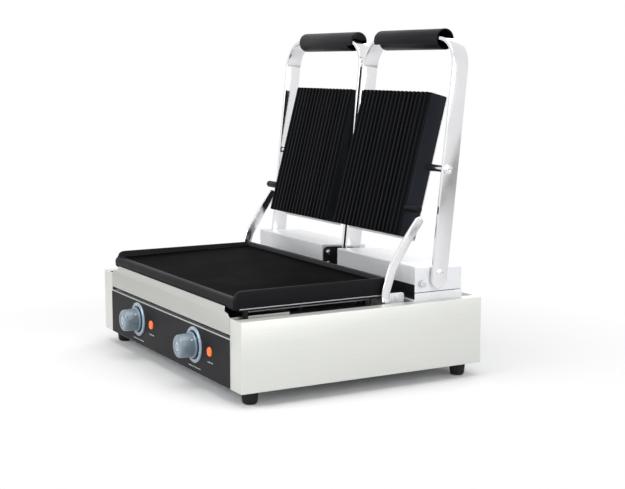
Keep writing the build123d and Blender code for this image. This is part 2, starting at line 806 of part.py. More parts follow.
# Grip: a moulded tube over the cross bar, rounded at one end and slotted at the other
grip_v = arm_reach - arm_thick / 2
grip_from = arm_inner + bend_radius - 18
grip_to = arm_outer - bend_radius - 1
grip_y = hinge_y + grip_v * sin(lean)
grip_z = hinge_z + grip_v * cos(lean)
with BuildPart() as grip:
    with BuildSketch(side_plane(grip_from)):
        with Locations((grip_y, grip_z)):
            Circle(grip_diameter / 2)
    extrude(amount=grip_to - grip_from)
    fillet(grip.edges().filter_by(GeomType.CIRCLE).sort_by(Axis.X)[0], 5)
    with BuildSketch(side_plane(grip_from - 1)):
        with Locations(Location((grip_y, grip_z, 0), (0, 0, -arm_lean))):
            Rectangle(arm_width + 0.4, arm_thick + 0.4)
    extrude(amount=grip_end + 2, mode=Mode.SUBTRACT)
    with BuildSketch(side_plane(grip_from - 1)):
        with Locations(Location((grip_y, grip_z, 0), (0, 0, -arm_lean))):
            with Locations((0, -grip_diameter / 2)):
                Rectangle(arm_width + 0.4, grip_diameter)
    extrude(amount=21, mode=Mode.SUBTRACT)
    with BuildSketch(side_plane(grip_from + grip_end)):
        with Locations((grip_y, grip_z)):
            Circle(grip_bore / 2)
    extrude(amount=grip_to - grip_from, mode=Mode.SUBTRACT)
keep_pair(grip.part, "grip")

# Hinge shaft clamped between the two legs of the handle
with BuildPart() as hinge_shaft:
    with BuildSketch(side_plane(arm_inner + arm_thick)):
        with Locations((hinge_y, hinge_z)):
            Circle(shaft_diameter / 2)
    extrude(amount=arm_span - 2 * arm_thick)
    for x, way in ((arm_inner + arm_thick, 1), (arm_outer - arm_thick, -1)):
        with BuildSketch(side_plane(x)):
            with Locations((hinge_y, hinge_z)):
                Circle(screw_diameter / 2)
        extrude(amount=way * 14, mode=Mode.SUBTRACT)
keep_pair(hinge_shaft.part, "hinge_shaft")

# Screws through the legs into the ends of the shaft
with BuildPart() as shaft_screws:
    for x, way in ((arm_inner, 1), (arm_outer, -1)):
        with BuildSketch(side_plane(x)):
            with Locations((hinge_y, hinge_z)):
                Circle(screw_head / 2)
        extrude(amount=-way * screw_head_thick)
        with BuildSketch(side_plane(x)):
            with Locations((hinge_y, hinge_z)):
                Circle(screw_diameter / 2)
        extrude(amount=way * (arm_thick + 13))
keep_pair(shaft_screws.part, "shaft_screws")

# Pivot pins from the legs of the handle into the two sides of the top plate
with BuildPart() as pivot_pins:
    for leg, face, way in ((arm_outer, plate_outer, -1), (arm_inner, plate_inner, 1)):
        head = 4.2 if way < 0 else screw_head_thick
        inner_leg = leg + way * arm_thick
        with BuildSketch(side_plane(leg)):
            with Locations((pivot_y, pivot_z)):
                Circle(pin_head / 2)
        extrude(amount=-way * head)
        with BuildSketch(side_plane(leg)):
            with Locations((pivot_y, pivot_z)):
                Circle(pin_shank / 2)
        extrude(amount=way * (arm_thick + 1))
        with BuildSketch(side_plane(inner_leg)):
            with Locations((pivot_y, pivot_z)):
                Circle(pin_shoulder / 2)
        extrude(amount=face - way * fit_gap - inner_leg)
        with BuildSketch(side_plane(face - way * 1)):
            with Locations((pivot_y, pivot_z)):
                Circle(pin_journal / 2)
        extrude(amount=way * (journal_length + 1))
keep_pair(pivot_pins.part, "pivot_pins")

# Top plate casting: ribbed face, walls round a hollow back, and bosses for pins and knob
plate_mid = (plate_inner + plate_outer) / 2
plate_wide = plate_outer - plate_inner
casting_back = plate_thick - cover_thick - 0.05
casting_long = plate_length - plate_start
casting_s = plate_start + casting_long / 2
with BuildPart() as top_plate:
    with BuildSketch(on_plate(rib_depth)):
        with Locations((plate_mid, casting_s)):
            RectangleRounded(plate_wide, casting_long, 3)
    extrude(amount=-(casting_back - rib_depth))
    for column in range(rib_count):
        x = plate_mid + (column - (rib_count - 1) / 2) * rib_pitch
        foot_plane = Plane(
            origin=(x, *plate_point(plate_start, 0)),
            x_dir=(1, 0, 0),
            z_dir=(0, sin(radians(plate_lean)), cos(radians(plate_lean))),
        )
        with BuildSketch(foot_plane) as rib_section:
            with BuildLine():
                Polyline(
                    (-rib_base / 2, rib_depth + 0.5),
                    (-rib_tip / 2, 0),
                    (rib_tip / 2, 0),
                    (rib_base / 2, rib_depth + 0.5),
                    close=True,
                )
            make_face()
        extrude(amount=casting_long)
    with BuildSketch(on_plate(rib_depth + plate_face)):
        with Locations((plate_mid, casting_s)):
            Rectangle(plate_wide - 2 * plate_wall, casting_long - 2 * plate_wall)
    extrude(amount=-40, mode=Mode.SUBTRACT)
    for x in (plate_inner, plate_outer - journal_length - 2):
        with BuildSketch(on_plate(rib_depth + plate_face - 1)):
            with Locations((x + (journal_length + 2) / 2, pivot_s)):
                Rectangle(journal_length + 2, 24)
        extrude(amount=-(casting_back - rib_depth - plate_face + 1))
    with BuildSketch(side_plane(plate_inner - 1)):
        with Locations((pivot_y, pivot_z)):
            Circle(pin_journal / 2 + running_clearance)
    extrude(amount=journal_length + 2, mode=Mode.SUBTRACT)
    with BuildSketch(side_plane(plate_outer - journal_length - 1)):
        with Locations((pivot_y, pivot_z)):
            Circle(pin_journal / 2 + running_clearance)
    extrude(amount=journal_length + 2, mode=Mode.SUBTRACT)
    knob_y, knob_z = plate_point(knob_s, knob_t)
    with BuildSketch(side_plane(plate_outer - 5)):
        with Locations((knob_y, knob_z)):
            Circle(2.5)
    extrude(amount=6, mode=Mode.SUBTRACT)
keep_pair(top_plate.part, "top_plate")

# Back cover of the top plate, a steel sheet whose lower edge stands proud as a lip
with BuildPart() as plate_cover:
    with BuildSketch(on_plate(plate_thick - cover_thick)):
        with Locations((plate_mid, plate_length / 2)):
            RectangleRounded(plate_wide - 1, plate_length, 2.5)
        with Locations((plate_mid, plate_length / 2)):
            with GridLocations(plate_wide - 14, plate_length - 40, 2, 2):
                Circle(2.1, mode=Mode.SUBTRACT)
    extrude(amount=-cover_thick)
keep_pair(plate_cover.part, "plate_cover")

# Cover screws with low domed heads
with BuildPart() as cover_screws:
    with BuildSketch(on_plate(plate_thick)):
        with Locations((plate_mid, plate_length / 2)):
            with GridLocations(plate_wide - 14, plate_length - 40, 2, 2):
                Circle(4)
    extrude(amount=-1.6)
    with BuildSketch(on_plate(plate_thick)):
        with Locations((plate_mid, plate_length / 2)):
            with GridLocations(plate_wide - 14, plate_length - 40, 2, 2):
                Circle(1.95)
    extrude(amount=cover_thick)
keep_pair(cover_screws.part, "cover_screws")

# Upper heating element: a bent tube lying on the back of the ribbed plate
top_z = rib_depth + plate_face + element_diameter / 2 + 0.1
lay = on_plate(top_z)
with BuildPart() as top_element:
    with BuildLine(lay) as top_run:
        FilletPolyline(
            (plate_mid - 80, 20),
            (plate_mid - 80, 215),
            (plate_mid - 48, 215),
            (plate_mid - 48, 30),
            (plate_mid - 16, 30),
            (plate_mid - 16, 215),
            (plate_mid + 16, 215),
            (plate_mid + 16, 30),
            (plate_mid + 48, 30),
            (plate_mid + 48, 215),
            (plate_mid + 80, 215),
            (plate_mid + 80, 20),
            radius=10,
        )
    with BuildSketch(Plane(origin=top_run.line @ 0, z_dir=top_run.line % 0)):
        Circle(element_diameter / 2)
    sweep()
keep_pair(top_element.part, "top_element")

# Insulation pad between the element and the back cover
with BuildPart() as top_insulation:
    with BuildSketch(on_plate(top_z + element_diameter / 2 + 0.2)):
        with Locations((plate_mid, casting_s)):
            Rectangle(plate_wide - 2 * plate_wall - 30, casting_long - 2 * plate_wall - 8)
    extrude(amount=-(plate_thick - cover_thick - top_z - element_diameter / 2 - 0.4))
keep_pair(top_insulation.part, "top_insulation")

# Tilt knob: the black pin on the outer side of the plate that follows the guide bar
with BuildPart() as tilt_knob:
    with BuildSketch(side_plane(plate_outer + 0.05)):
        with Locations((knob_y, knob_z)):
            Circle(stop_diameter / 2)
    extrude(amount=stop_reach)
    fillet(tilt_knob.edges().filter_by(GeomType.CIRCLE).group_by(Axis.X)[-1], 2)
    with BuildSketch(side_plane(plate_outer + 0.05)):
        with Locations((knob_y, knob_z)):
            Circle(2.4)
    extrude(amount=-4.5)
keep_pair(tilt_knob.part, "tilt_knob")

# Terminal block inside the body, beside the cord entry
with BuildPart() as terminal_block:
    with BuildSketch(Plane.XY.offset(foot_height + sheet)):
        with Locations((gland_x + 70, back - 60)):
            Rectangle(60, 26)
    extrude(amount=24)
    with BuildSketch(Plane.XY.offset(foot_height + sheet + 24)):
        with Locations((gland_x + 70, back - 60)):
            with GridLocations(18, 12, 3, 2):
                Circle(2.5)
    extrude(amount=-12, mode=Mode.SUBTRACT)
keep(terminal_block.part, "terminal_block")

# Cord gland through the rear panel, with its bore for the cord
with BuildPart() as cable_gland:
    with BuildSketch(front_plane(back)):
        with Locations((gland_x, gland_height)):
            RegularPolygon(15, 6)
    extrude(amount=-12)
    with BuildSketch(front_plane(back)):
        with Locations((gland_x, gland_height)):
            Circle(11.5)
    extrude(amount=-gland_out)
    fillet(cable_gland.edges().filter_by(GeomType.CIRCLE).group_by(Axis.Y)[-1], 3)
    with BuildSketch(front_plane(back)):
        with Locations((gland_x, gland_height)):
            Circle(gland_diameter / 2 - 0.1)
    extrude(amount=sheet + 12)
    with BuildSketch(front_plane(back - sheet)):
        with Locations((gland_x, gland_height)):
            RegularPolygon(15, 6)
    extrude(amount=6)
    with BuildSketch(front_plane(back - 20)):
        with Locations((gland_x, gland_height)):
            Circle(cord_bore / 2)
    extrude(amount=-(gland_out + 40), mode=Mode.SUBTRACT)
keep(cable_gland.part, "cable_gland")

# Screws: round heads on the rear panel
with BuildPart() as panel_screws:
    for x in (-rear_half + 14, rear_half - 14):
        for z in (34, 118):
            with BuildSketch(front_plane(back)):
                with Locations((x, z)):
                    Circle(4)
            extrude(amount=-2)
keep(panel_screws.part, "panel_screws")
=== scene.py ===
import math

import bmesh
import bpy
import numpy as np
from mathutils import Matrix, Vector


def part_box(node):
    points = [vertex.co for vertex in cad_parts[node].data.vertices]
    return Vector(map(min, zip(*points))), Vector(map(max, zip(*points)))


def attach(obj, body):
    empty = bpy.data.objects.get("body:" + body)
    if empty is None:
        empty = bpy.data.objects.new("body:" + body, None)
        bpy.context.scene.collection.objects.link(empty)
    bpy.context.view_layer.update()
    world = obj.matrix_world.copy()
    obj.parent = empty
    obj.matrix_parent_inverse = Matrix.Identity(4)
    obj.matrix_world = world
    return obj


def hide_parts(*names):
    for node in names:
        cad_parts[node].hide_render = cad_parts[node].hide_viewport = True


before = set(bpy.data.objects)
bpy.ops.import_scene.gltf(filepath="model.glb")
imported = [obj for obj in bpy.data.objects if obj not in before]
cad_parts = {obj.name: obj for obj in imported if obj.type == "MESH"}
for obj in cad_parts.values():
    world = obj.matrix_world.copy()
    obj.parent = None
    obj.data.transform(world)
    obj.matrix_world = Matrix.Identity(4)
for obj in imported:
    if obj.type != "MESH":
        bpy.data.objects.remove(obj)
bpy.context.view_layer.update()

# The view: one long lens a little above the worktop, to the right of the controls, square to
# the horizon, with nothing out of focus.
lens = bpy.data.cameras.new("view")
lens.sensor_width = 36.0
lens.lens = 74.16
lens.clip_start = 0.1
lens.clip_end = 60.0
camera = bpy.data.objects.new("view", lens)
bpy.context.collection.objects.link(camera)
camera.location = (1.9484, -1.0318, 0.5056)
camera.rotation_euler = Vector((-0.8634, 0.4849, -0.1388)).to_track_quat("-Z", "Y").to_euler()
bpy.context.scene.camera = camera
bpy.context.scene.view_settings.view_transform = "Standard"

# The room: a pale floor that fades into a white surround, soft boxes overhead, right, front
# and behind, a small one aimed at the hinge covers, and a dim sky for the rest.
world = bpy.data.worlds.new("studio")
bpy.context.scene.world = world
world.use_nodes = True
sky = world.node_tree
sky.nodes.clear()
sky_out = sky.nodes.new("ShaderNodeOutputWorld")
sky_mix = sky.nodes.new("ShaderNodeMixShader")
sky_dim = sky.nodes.new("ShaderNodeBackground")
sky_dim.inputs["Color"].default_value = (1.0, 1.0, 1.0, 1.0)
sky_dim.inputs["Strength"].default_value = 0.27
sky_white = sky.nodes.new("ShaderNodeBackground")
sky_white.inputs["Color"].default_value = (1.0, 1.0, 1.0, 1.0)
sky_white.inputs["Strength"].default_value = 1.0
sky_path = sky.nodes.new("ShaderNodeLightPath")
sky_seen = sky.nodes.new("ShaderNodeMath")
sky_seen.operation = "MAXIMUM"
sky.links.new(sky_path.outputs["Is Camera Ray"], sky_seen.inputs[0])
sky.links.new(sky_path.outputs["Is Transmission Ray"], sky_seen.inputs[1])
sky_all = sky.nodes.new("ShaderNodeMath")
sky_all.operation = "MAXIMUM"
sky.links.new(sky_seen.outputs[0], sky_all.inputs[0])
sky.links.new(sky_path.outputs["Is Glossy Ray"], sky_all.inputs[1])
sky.links.new(sky_all.outputs[0], sky_mix.inputs[0])
sky.links.new(sky_dim.outputs[0], sky_mix.inputs[1])
sky.links.new(sky_white.outputs[0], sky_mix.inputs[2])
sky.links.new(sky_mix.outputs[0], sky_out.inputs[0])


def soft_box(name, place, aim, wide, high, watts):
    """A rectangular lamp at place, turned to face aim."""
    lamp = bpy.data.lights.new(name, "AREA")
    lamp.shape = "RECTANGLE"
    lamp.size = wide
    lamp.size_y = high
    lamp.energy = watts
    holder = bpy.data.objects.new(name, lamp)
    holder.location = place
    turn = (Vector(aim) - Vector(place)).to_track_quat("-Z", "Y")
    holder.rotation_euler = turn.to_euler()
    bpy.context.collection.objects.link(holder)
    return holder


soft_box("overhead_box", (0.3, -0.2, 2.6), (0.0, 0.0, 0.2), 2.6, 2.2, 40.0)
soft_box("right_box", (2.7, 0.5, 1.3), (0.0, 0.0, 0.2), 1.8, 1.8, 26.0)
soft_box("front_box", (-0.4, -2.9, 1.2), (0.0, 0.0, 0.15), 2.2, 1.4, 9.0)
soft_box("back_box", (-1.6, 2.2, 1.8), (0.0, 0.0, 0.3), 1.8, 1.4, 20.0)

soft_box("cover_fill", (0.1, -1.3, 0.85), (0.0, 0.13, 0.16), 0.9, 0.5, 7.0)

ground = np.array([[-4.0, -4.0], [4.0, -4.0], [4.0, 4.0], [-4.0, 4.0]])
floor_mesh = bpy.data.meshes.new("floor")
floor_mesh.from_pydata(np.c_[ground, np.full(4, -0.0006)].tolist(), [], [(0, 1, 2, 3)])
floor = bpy.data.objects.new("floor", floor_mesh)
bpy.context.collection.objects.link(floor)
paper = bpy.data.materials.new("white_paper")
paper.use_nodes = True
sheet = paper.node_tree
paper_shader = sheet.nodes["Principled BSDF"]
paper_shader.inputs["Base Color"].default_value = (0.9, 0.9, 0.9, 1.0)
paper_shader.inputs["Roughness"].default_value = 0.9
paper_out = sheet.nodes["Material Output"]
paper_white = sheet.nodes.new("ShaderNodeEmission")
paper_path = sheet.nodes.new("ShaderNodeLightPath")
paper_coord = sheet.nodes.new("ShaderNodeTexCoord")
paper_far = sheet.nodes.new("ShaderNodeVectorMath")
paper_far.operation = "LENGTH"
paper_fade = sheet.nodes.new("ShaderNodeMapRange")
paper_fade.inputs["From Min"].default_value = 0.30
paper_fade.inputs["From Max"].default_value = 0.75
paper_both = sheet.nodes.new("ShaderNodeMath")
paper_both.operation = "MULTIPLY"
paper_mix = sheet.nodes.new("ShaderNodeMixShader")
sheet.links.new(paper_coord.outputs["Object"], paper_far.inputs[0])
sheet.links.new(paper_far.outputs["Value"], paper_fade.inputs["Value"])
sheet.links.new(paper_fade.outputs["Result"], paper_both.inputs[0])
sheet.links.new(paper_path.outputs["Is Camera Ray"], paper_both.inputs[1])
sheet.links.new(paper_both.outputs[0], paper_mix.inputs[0])
sheet.links.new(paper_shader.outputs[0], paper_mix.inputs[1])
sheet.links.new(paper_white.outputs[0], paper_mix.inputs[2])
paper_below = sheet.nodes.new("ShaderNodeNewGeometry")
paper_clear = sheet.nodes.new("ShaderNodeBsdfTransparent")
paper_side = sheet.nodes.new("ShaderNodeMixShader")
sheet.links.new(paper_below.outputs["Backfacing"], paper_side.inputs[0])
sheet.links.new(paper_mix.outputs[0], paper_side.inputs[1])
sheet.links.new(paper_clear.outputs[0], paper_side.inputs[2])
sheet.links.new(paper_side.outputs[0], paper_out.inputs["Surface"])
floor_mesh.materials.append(paper)

# Finishes: each material is a Principled shader whose colour, roughness and bump come from
# one of four shader groups: belt-ground sheet, fine moulding, cast enamel, polished bar.
FLOAT = "NodeSocketFloat"
COLOUR = "NodeSocketColor"
BLACK = (0.0, 0.0, 0.0, 1.0)


def effect_group(name, scales):
    """An empty shader group with a float input for each label and value of scales, the
    inputs Low, High, Dark and Light, and the outputs Colour, Roughness and Height."""
    group = bpy.data.node_groups.new(name, "ShaderNodeTree")
    inputs = [(label, FLOAT, value) for label, value in scales]
    inputs += [("Low", FLOAT, 0.4), ("High", FLOAT, 0.6)]
    inputs += [("Dark", COLOUR, BLACK), ("Light", COLOUR, BLACK)]
    for label, kind, value in inputs:
        made = group.interface.new_socket(label, in_out="INPUT", socket_type=kind)
        made.default_value = value
    for label, kind in (("Colour", COLOUR), ("Roughness", FLOAT), ("Height", FLOAT)):
        group.interface.new_socket(label, in_out="OUTPUT", socket_type=kind)
    return group, group.nodes.new("NodeGroupInput"), group.nodes.new("NodeGroupOutput")


def finish_outputs(group, start, end, tint, gloss, height, span):
    """Ends a group: tint mixes Dark and Light, gloss between the two values of span gives
    Low to High, and height goes out as it is."""
    ramp = group.nodes.new("ShaderNodeMapRange")
    ramp.inputs["From Min"].default_value, ramp.inputs["From Max"].default_value = span
    mix = group.nodes.new("ShaderNodeMix")
    mix.data_type = "RGBA"
    group.links.new(gloss, ramp.inputs["Value"])
    group.links.new(start.outputs["Low"], ramp.inputs["To Min"])
    group.links.new(start.outputs["High"], ramp.inputs["To Max"])
    group.links.new(ramp.outputs["Result"], end.inputs["Roughness"])
    group.links.new(tint, mix.inputs["Factor"])
    group.links.new(start.outputs["Dark"], mix.inputs["A"])
    group.links.new(start.outputs["Light"], mix.inputs["B"])
    group.links.new(mix.outputs["Result"], end.inputs["Colour"])
    group.links.new(height, end.inputs["Height"])


def two_noise_group(name, fine, slow, span):
    """A group of two noises: the fine one is the height, and the slow one drifts the colour
    and the roughness. Each is its input's label, its scale, its detail and its roughness."""
    group, start, end = effect_group(name, [fine[:2], slow[:2]])
    coord = group.nodes.new("ShaderNodeTexCoord")
    noises = []
    for label, _, detail, grit in (fine, slow):
        noise = group.nodes.new("ShaderNodeTexNoise")
        noise.inputs["Detail"].default_value = detail
        noise.inputs["Roughness"].default_value = grit
        group.links.new(coord.outputs["Object"], noise.inputs["Vector"])
        group.links.new(start.outputs[label], noise.inputs["Scale"])
        noises.append(noise.outputs[0])
    finish_outputs(group, start, end, noises[1], noises[1], noises[0], span)
    return group


# belt-ground sheet: streaks are one noise stretched by the three Across scales; a slow cloud
# of finger handling is laid over them and raises the roughness a little
belt, belt_in, belt_out = effect_group("belt_grain", [(f"Across {axis}", 1.0) for axis in "XYZ"])
belt_coord = belt.nodes.new("ShaderNodeTexCoord")
belt_scale = belt.nodes.new("ShaderNodeCombineXYZ")
belt_place = belt.nodes.new("ShaderNodeVectorMath")
belt_place.operation = "MULTIPLY"
belt_noise = belt.nodes.new("ShaderNodeTexNoise")
belt_noise.inputs["Scale"].default_value = 1.0
belt_noise.inputs["Detail"].default_value = 5.0
belt_noise.inputs["Roughness"].default_value = 0.65
belt_cloud = belt.nodes.new("ShaderNodeTexNoise")
belt_cloud.inputs["Scale"].default_value = 9.0
belt_cloud.inputs["Detail"].default_value = 3.0
belt_sum = belt.nodes.new("ShaderNodeMath")
belt_sum.operation = "MULTIPLY_ADD"
belt_sum.inputs[1].default_value = 0.35
for axis in "XYZ":
    belt.links.new(belt_in.outputs[f"Across {axis}"], belt_scale.inputs[axis])
belt.links.new(belt_coord.outputs["Object"], belt_place.inputs[0])
belt.links.new(belt_scale.outputs[0], belt_place.inputs[1])
belt.links.new(belt_place.outputs[0], belt_noise.inputs["Vector"])
belt.links.new(belt_coord.outputs["Object"], belt_cloud.inputs["Vector"])
belt.links.new(belt_cloud.outputs[0], belt_sum.inputs[0])
belt.links.new(belt_noise.outputs[0], belt_sum.inputs[2])
streaks = belt_noise.outputs[0]
finish_outputs(belt, belt_in, belt_out, streaks, belt_sum.outputs[0], streaks, (0.45, 0.9))

# fine moulding: the grain left by a textured mould. Cast enamel: the mould's sand, and the
# slow darkening that heat and oil leave. Polished bar: the mop's wave, and smears of handling.
film = two_noise_group(
    "fine_moulding", ("Grain", 900.0, 3.0, 0.5), ("Patch", 14.0, 4.0, 0.5), (0.3, 0.7)
)
enamel = two_noise_group(
    "cast_enamel", ("Sand", 420.0, 4.0, 0.5), ("Stain", 11.0, 6.0, 0.6), (0.32, 0.68)
)
polish = two_noise_group(
    "polished_bar", ("Wave", 260.0, 2.0, 0.5), ("Smear", 18.0, 5.0, 0.5), (0.35, 0.7)
)


def finish_material(
    name, group, rough, dark, light, metal, bump, specular=0.5, coat=0.0, across=None, **scales
):
    """A Principled material on a shader group. Its roughness lies between the two values of
    rough and its colour between dark and light; scales set the group's own inputs."""
    made = bpy.data.materials.new(name)
    made.use_nodes = True
    nodes = made.node_tree.nodes
    shader = nodes["Principled BSDF"]
    shader.inputs["Metallic"].default_value = metal
    shader.inputs["Specular IOR Level"].default_value = specular
    shader.inputs["Coat Weight"].default_value = coat
    shader.inputs["Coat Roughness"].default_value = 0.12
    effect = nodes.new("ShaderNodeGroup")
    effect.node_tree = group
    effect.inputs["Low"].default_value, effect.inputs["High"].default_value = rough
    effect.inputs["Dark"].default_value = (*dark, 1.0)
    effect.inputs["Light"].default_value = (*light, 1.0)
    for axis, value in zip("XYZ", across or ()):
        effect.inputs[f"Across {axis}"].default_value = value
    for label, value in scales.items():
        effect.inputs[label.capitalize()].default_value = value
    ripple = nodes.new("ShaderNodeBump")
    ripple.inputs["Strength"].default_value = bump
    ripple.inputs["Distance"].default_value = 0.0004
    made.node_tree.links.new(effect.outputs["Colour"], shader.inputs["Base Color"])
    made.node_tree.links.new(effect.outputs["Roughness"], shader.inputs["Roughness"])
    made.node_tree.links.new(effect.outputs["Height"], ripple.inputs["Height"])
    made.node_tree.links.new(ripple.outputs["Normal"], shader.inputs["Normal"])
    return made


def coat_node(node, material):
    """Gives a CAD node that stays as it is its finished material."""
    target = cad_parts[node]
    target.data.materials.clear()
    target.data.materials.append(material)


def eased_copy(node, name, body, material, radius, steps=3):
    """A copy of a CAD node, merged and with its flat faces joined, whose edges are then
    rounded to radius as a folded or tumbled edge is."""
    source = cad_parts[node]
    mesh = source.data.copy()
    mesh.name = name
    work = bmesh.new()
    work.from_mesh(mesh)
    bmesh.ops.remove_doubles(work, verts=work.verts, dist=1e-6)
    bmesh.ops.dissolve_limit(
        work, angle_limit=math.radians(0.6), verts=work.verts, edges=work.edges
    )
    work.to_mesh(mesh)
    work.free()
    mesh.materials.clear()
    mesh.materials.append(material)
    mesh.shade_smooth()
    piece = bpy.data.objects.new(name, mesh)
    bpy.context.collection.objects.link(piece)
    rounding = piece.modifiers.new("edge", "BEVEL")
    rounding.limit_method = "ANGLE"
    rounding.angle_limit = math.radians(32)
    rounding.width = radius
    rounding.segments = steps
    rounding.use_clamp_overlap = True
    rounding.harden_normals = True
    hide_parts(node)
    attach(piece, body)
    return piece


# Side panels: each is one stainless sheet folded round at the front, back, top and bottom,
# with a fine grain from the polishing belt along its length.
hands = (("left", -1), ("right", 1))  # each side and its sign along X
panel_steel = finish_material(
    "side_panel_steel", belt, (0.30, 0.46), (0.66, 0.67, 0.64), (0.76, 0.77, 0.74),
    metal=0.45, bump=0.05, across=(900.0, 14.0, 900.0),
)
for side, _ in hands:
    node = f"side_panel_{side}"
    eased_copy(node, f"folded_side_{side}", "base", panel_steel, 0.0009)

# Rear panel, base pan, heat shield, element clamps and deck: plain sheet behind and under the
# works, duller than the outside; the deck beside the griddle is darkened as painted shade.
inner_sheet = finish_material(
    "inner_sheet_steel", belt, (0.38, 0.55), (0.42, 0.44, 0.46), (0.56, 0.58, 0.60),
    metal=0.85, bump=0.05, across=(60.0, 60.0, 60.0),
)
for node in ("base_pan", "heat_shield", "element_clamps"):
    coat_node(node, inner_sheet)
deck_steel = finish_material(
    "deck_steel", belt, (0.28, 0.45), (0.62, 0.64, 0.65), (0.76, 0.78, 0.79),
    metal=0.85, bump=0.05, across=(22.0, 900.0, 900.0),
)
coat_node("rear_panel", deck_steel)
# painted shade: the deck's dark colour stands in for the shadow in the gap beside and under the
# griddle
shaded_sheet = finish_material(
    "shade_dark_deck", belt, (0.40, 0.55), (0.16, 0.165, 0.17), (0.24, 0.245, 0.25),
    metal=0.85, bump=0.05,
)
coat_node("top_deck", shaded_sheet)

# Control panel and its overlay: a folded stainless front, its top edge showing as a bright
# line, under a matt charcoal film with a very fine grain.
coat_node("control_panel", deck_steel)
charcoal = finish_material(
    "charcoal_film", film, (0.42, 0.52), (0.0145, 0.0145, 0.0160), (0.0185, 0.0185, 0.0205),
    metal=0.0, bump=0.12, specular=0.08, grain=1500.0,
)
coat_node("control_overlay", charcoal)


def link_piece(name, mesh, body, material, nodes=()):
    """Puts a finished mesh in the scene, riding on its body and standing for its nodes."""
    mesh.materials.append(material)
    mesh.shade_smooth()
    mesh.set_sharp_from_angle(angle=math.radians(38))
    piece = bpy.data.objects.new(name, mesh)
    bpy.context.collection.objects.link(piece)
    if nodes:
        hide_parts(*nodes)
    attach(piece, body)
    return piece


def woven_grid(name, shells):
    """Each shell is rows by columns of points: every row is a closed loop, every four
    neighbours make one face, and the first and last loops are filled flat."""
    verts, faces, start = [], [], 0
    for points in shells:
        rows, columns, _ = points.shape
        index = np.arange(rows * columns).reshape(rows, columns) + start
        here, above = index[:-1], index[1:]
        across = np.roll(here, -1, axis=1), np.roll(above, -1, axis=1)
        quads = np.stack([here, across[0], across[1], above], axis=-1).reshape(-1, 4)
        faces += quads.tolist()
        faces += [index[0][::-1].tolist(), index[-1].tolist()]
        verts.append(points.reshape(-1, 3))
        start += rows * columns
    mesh = bpy.data.meshes.new(name)
    mesh.from_pydata(np.concatenate(verts).tolist(), [], faces)
    work = bmesh.new()
    work.from_mesh(mesh)
    bmesh.ops.remove_doubles(work, verts=work.verts, dist=2e-7)
    bmesh.ops.recalc_face_normals(work, faces=work.faces)
    work.to_mesh(mesh)
    work.free()
    return mesh


def turned(profile, centre, axis, sides=64):
    """Points of a turned piece: each (distance along the axis, radius) pair of profile is
    carried round the axis through centre."""
    axis = np.array(axis, float)
    first = np.cross(axis, [0.0, 0.0, 1.0])
    if np.linalg.norm(first) < 0.1:
        first = np.array([1.0, 0.0, 0.0])
    first = first / np.linalg.norm(first)
    second = np.cross(axis, first)
    turn = np.linspace(0.0, 2 * np.pi, sides, endpoint=False)
    ring = np.cos(turn)[:, None] * first + np.sin(turn)[:, None] * second
    along, radius = np.array(profile, float).T
    return np.array(centre) + along[:, None, None] * axis + radius[:, None, None] * ring


# Printed marks on the overlay: a short row of plain bars under each dial and lamp, and one
# green dot over the left dial, each a film a tenth of a millimetre proud.
ink = finish_material(
    "white_ink", film, (0.4, 0.6), (0.70, 0.71, 0.72), (0.8, 0.81, 0.82),
    metal=0.0, bump=0.05,
)
green_ink = finish_material(
    "green_ink", film, (0.4, 0.6), (0.0, 0.22, 0.10), (0.0, 0.30, 0.14),
    metal=0.0, bump=0.05,
)
overlay_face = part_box("control_overlay")[0][1]
dial_places = (-0.118, 0.118)
lamp_places = (-0.059, 0.177)
dial_height = 0.0663


def printed_bar(x, z, wide, high):
    """One flat bar with its corners at x, z plus and minus half its size, set on the film."""
    corner = np.array([[-1, -1], [1, -1], [1, 1], [-1, 1]]) * (wide / 2, high / 2)
    depth = np.array([overlay_face - 0.00012, overlay_face + 0.0002])
    flat = np.empty((2, 4, 3))
    flat[:, :, 0] = x + corner[:, 0]
    flat[:, :, 1] = depth[:, None]
    flat[:, :, 2] = z + corner[:, 1]
    return flat


bars = []
bar_pitch = 0.0052
for places, z, count in ((dial_places, 0.0305, 9), (lamp_places, 0.0490, 4)):
    for x in places:
        for step in range(count):
            place = x + (step - (count - 1) / 2) * bar_pitch
            bars.append(printed_bar(place, z, 0.0034, 0.0010 + 0.0005 * (step % 2)))
link_piece("printed_bars", woven_grid("printed_bars", bars), "base", ink)
dot = turned(
    [(-0.0002, 0.0018), (0.00015, 0.0018)], (-0.1385, overlay_face, 0.0905), (0, -1, 0), 24
)
link_piece("green_dot", woven_grid("green_dot", [dot]), "base", green_ink)

# Dial rings: a moulded ring on the overlay, bevelled outside and in, with a scale of eleven
# ticks printed on its face, the first, middle and last of them longer.
ring_plastic = finish_material(
    "ring_plastic", film, (0.22, 0.32), (0.27, 0.36, 0.45), (0.36, 0.46, 0.56),
    metal=0.25, bump=0.03, coat=0.5,
)
